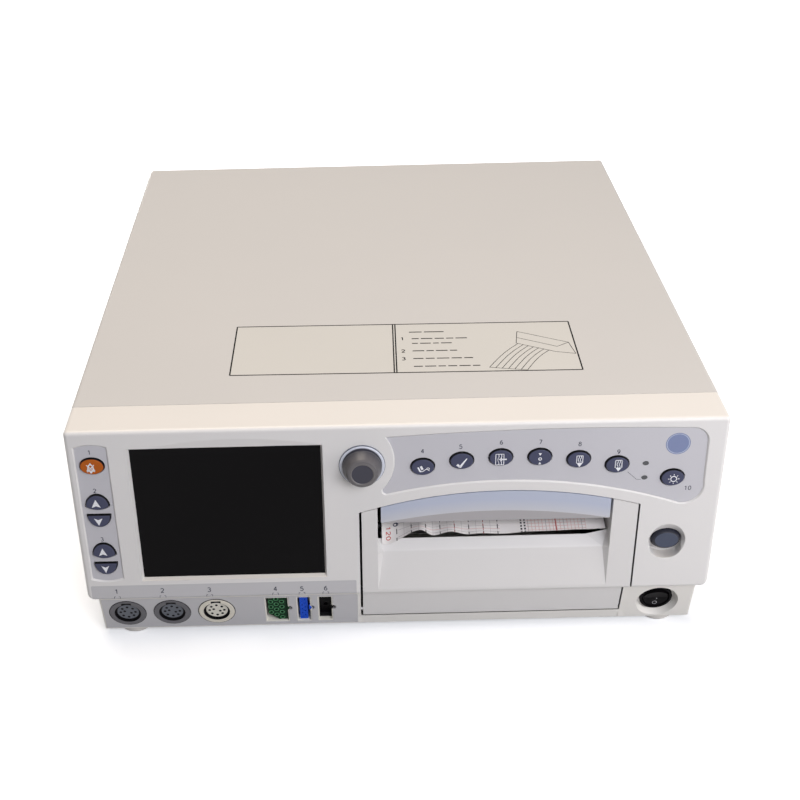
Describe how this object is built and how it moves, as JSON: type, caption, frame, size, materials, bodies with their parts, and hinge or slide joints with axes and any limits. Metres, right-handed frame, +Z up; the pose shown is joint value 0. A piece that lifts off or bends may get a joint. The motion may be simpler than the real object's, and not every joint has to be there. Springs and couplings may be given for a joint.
{
  "type": "fetal monitor",
  "caption": "Desk-top fetal monitor: wide console with display, push keys, trim knob, transducer sockets and a strip-chart recorder behind a hinged door.",
  "frame": {"origin": "on the table, under the middle of the part's box", "axes": "+Z up, -Y out of the fascia towards the operator, +X to the operator's right"},
  "size_m": [0.422, 0.4502, 0.171],
  "materials": {
    "cover_paint": "fine-grained warm white paint",
    "fascia_plastic": "satin off-white moulding",
    "panel_plastic": "satin off-white moulding",
    "door_plastic": "satin off-white moulding",
    "film_grey": "printed grey film",
    "bar_blue_grey": "satin blue-grey moulding",
    "key_slate": "satin slate-blue key with white symbol",
    "key_orange": "satin orange key with white symbol",
    "screen_black": "polished black window",
    "knob_smoke": "smoked translucent moulding",
    "collar_grey": "satin light blue-grey",
    "socket_grey": "satin dark grey moulding",
    "liner_cream": "satin cream moulding",
    "green_block": "green connector moulding",
    "blue_block": "blue connector moulding",
    "black_plastic": "black moulding",
    "latch_slate": "satin slate-blue moulding",
    "black_rubber": "matt black rubber",
    "grey_rubber": "matt grey rubber",
    "paper_white": "chart paper with faint grid",
    "zinc_steel": "zinc-plated sheet",
    "bright_steel": "bright steel",
    "gear_plastic": "natural acetal",
    "heat_sink": "black-faced aluminium",
    "board_green": "fibreglass board with components",
    "lamp_clear": "clear lens",
    "brass": "bright brass"
  },
  "bodies": {
    "case": {"base_chassis": "zinc_steel", "black_pin_block": "black_plastic", "blue_pin_block": "blue_block", "case_screws": "bright_steel", "cuff_pump": "black_plastic", "display_module": "zinc_steel", "display_window": "screen_black", "dome_switches": "black_plastic", "earth_stud": "brass", "encoder": "black_plastic", "foot_screws": "bright_steel", "front_fascia": "fascia_plastic", "function_panel": "film_grey", "green_pin_block": "green_block", "hinge_pins": "bright_steel", "key_strip": "film_grey", "knob_collar": "collar_grey", "lamp_lenses": "lamp_clear", "latch_spring": "bright_steel", "loudspeaker": "black_plastic", "lower_front_panel": "panel_plastic", "main_board": "board_green", "mains_inlet": "black_plastic", "motor": "zinc_steel", "paper_pack": "paper_white", "power_supply": "board_green", "print_head": "heat_sink", "rear_panel": "cover_paint", "rear_ports": "zinc_steel", "recorder_bar": "bar_blue_grey", "recorder_frame": "zinc_steel", "rubber_feet": "grey_rubber", "socket_inserts": "socket_grey", "socket_liners": "liner_cream", "socket_rings": "socket_grey", "switch_boards": "board_green", "switch_body": "black_plastic", "top_cover": "cover_paint"},
    "alarm_key": {"alarm_key": "key_orange"},
    "volume_1_raise_key": {"volume_1_raise_key": "key_slate"},
    "volume_1_lower_key": {"volume_1_lower_key": "key_slate"},
    "volume_2_raise_key": {"volume_2_raise_key": "key_slate"},
    "volume_2_lower_key": {"volume_2_lower_key": "key_slate"},
    "function_key_1": {"function_key_1": "key_slate"},
    "function_key_2": {"function_key_2": "key_slate"},
    "function_key_3": {"function_key_3": "key_slate"},
    "function_key_4": {"function_key_4": "key_slate"},
    "function_key_5": {"function_key_5": "key_slate"},
    "function_key_6": {"function_key_6": "key_slate"},
    "light_key": {"light_key": "key_slate"},
    "knob_spindle": {"knob_shaft": "bright_steel"},
    "knob": {"knob": "knob_smoke"},
    "latch": {"latch_button": "latch_slate"},
    "rocker": {"power_rocker": "black_plastic"},
    "door": {"recorder_door": "door_plastic", "paper_strip": "paper_white"},
    "platen": {"platen_roller": "black_rubber", "platen_shaft": "bright_steel", "platen_gear": "gear_plastic"},
    "pinion": {"motor_pinion": "brass"}
  },
  "joints": [
    {"name": "alarm_key_press", "type": "slide", "parent": "case", "child": "alarm_key", "axis": [0, 0.9975, -0.0709], "range_m": [0, 0.0012], "stiffness_N_per_m": 800, "springref_m": -0.0005},
    {"name": "volume_1_raise_key_press", "type": "slide", "parent": "case", "child": "volume_1_raise_key", "axis": [0, 0.9975, -0.0709], "range_m": [0, 0.0012], "stiffness_N_per_m": 800, "springref_m": -0.0005},
    {"name": "volume_1_lower_key_press", "type": "slide", "parent": "case", "child": "volume_1_lower_key", "axis": [0, 0.9975, -0.0709], "range_m": [0, 0.0012], "stiffness_N_per_m": 800, "springref_m": -0.0005},
    {"name": "volume_2_raise_key_press", "type": "slide", "parent": "case", "child": "volume_2_raise_key", "axis": [0, 0.9975, -0.0709], "range_m": [0, 0.0012], "stiffness_N_per_m": 800, "springref_m": -0.0005},
    {"name": "volume_2_lower_key_press", "type": "slide", "parent": "case", "child": "volume_2_lower_key", "axis": [0, 0.9975, -0.0709], "range_m": [0, 0.0012], "stiffness_N_per_m": 800, "springref_m": -0.0005},
    {"name": "function_key_1_press", "type": "slide", "parent": "case", "child": "function_key_1", "axis": [0, 0.9975, -0.0709], "range_m": [0, 0.0012], "stiffness_N_per_m": 800, "springref_m": -0.0005},
    {"name": "function_key_2_press", "type": "slide", "parent": "case", "child": "function_key_2", "axis": [0, 0.9975, -0.0709], "range_m": [0, 0.0012], "stiffness_N_per_m": 800, "springref_m": -0.0005},
    {"name": "function_key_3_press", "type": "slide", "parent": "case", "child": "function_key_3", "axis": [0, 0.9975, -0.0709], "range_m": [0, 0.0012], "stiffness_N_per_m": 800, "springref_m": -0.0005},
    {"name": "function_key_4_press", "type": "slide", "parent": "case", "child": "function_key_4", "axis": [0, 0.9975, -0.0709], "range_m": [0, 0.0012], "stiffness_N_per_m": 800, "springref_m": -0.0005},
    {"name": "function_key_5_press", "type": "slide", "parent": "case", "child": "function_key_5", "axis": [0, 0.9975, -0.0709], "range_m": [0, 0.0012], "stiffness_N_per_m": 800, "springref_m": -0.0005},
    {"name": "function_key_6_press", "type": "slide", "parent": "case", "child": "function_key_6", "axis": [0, 0.9975, -0.0709], "range_m": [0, 0.0012], "stiffness_N_per_m": 800, "springref_m": -0.0005},
    {"name": "light_key_press", "type": "slide", "parent": "case", "child": "light_key", "axis": [0, 0.9975, -0.0709], "range_m": [0, 0.0012], "stiffness_N_per_m": 800, "springref_m": -0.0005},
    {"name": "knob_push", "type": "slide", "parent": "case", "child": "knob_spindle", "axis": [0, 0.9975, -0.0709], "range_m": [0, 0.0008], "stiffness_N_per_m": 1500, "springref_m": -0.0005},
    {"name": "knob_turn", "type": "hinge", "parent": "knob_spindle", "child": "knob", "pos_m": [-0.0225, -0.21866, 0.14257], "axis": [0, -0.9975, 0.0709], "continuous": true},
    {"name": "latch_slide", "type": "slide", "parent": "case", "child": "latch", "axis": [0, -0.0709, -0.9975], "range_m": [0, 0.005], "stiffness_N_per_m": 300, "springref_m": -0.004, "deforming": ["latch_spring"]},
    {"name": "power_rock", "type": "hinge", "parent": "case", "child": "rocker", "pos_m": [0.1803, -0.20655, 0.02181], "axis": [-1, 0, 0], "range_deg": [0, 16]},
    {"name": "door_hinge", "type": "hinge", "parent": "case", "child": "door", "pos_m": [0.0648, -0.20903, 0.0172], "axis": [1, 0, 0], "range_deg": [0, 75]},
    {"name": "platen_spin", "type": "hinge", "parent": "door", "child": "platen", "pos_m": [0.0643, -0.19493, 0.079], "axis": [1, 0, 0], "continuous": true},
    {"name": "pinion_spin", "type": "hinge", "parent": "case", "child": "pinion", "pos_m": [0.1481, -0.17914, 0.0754], "axis": [1, 0, 0], "continuous": true}
  ],
  "couplings": [
    {"joint": "pinion_spin", "follows": "platen_spin", "ratio": -2}
  ]
}
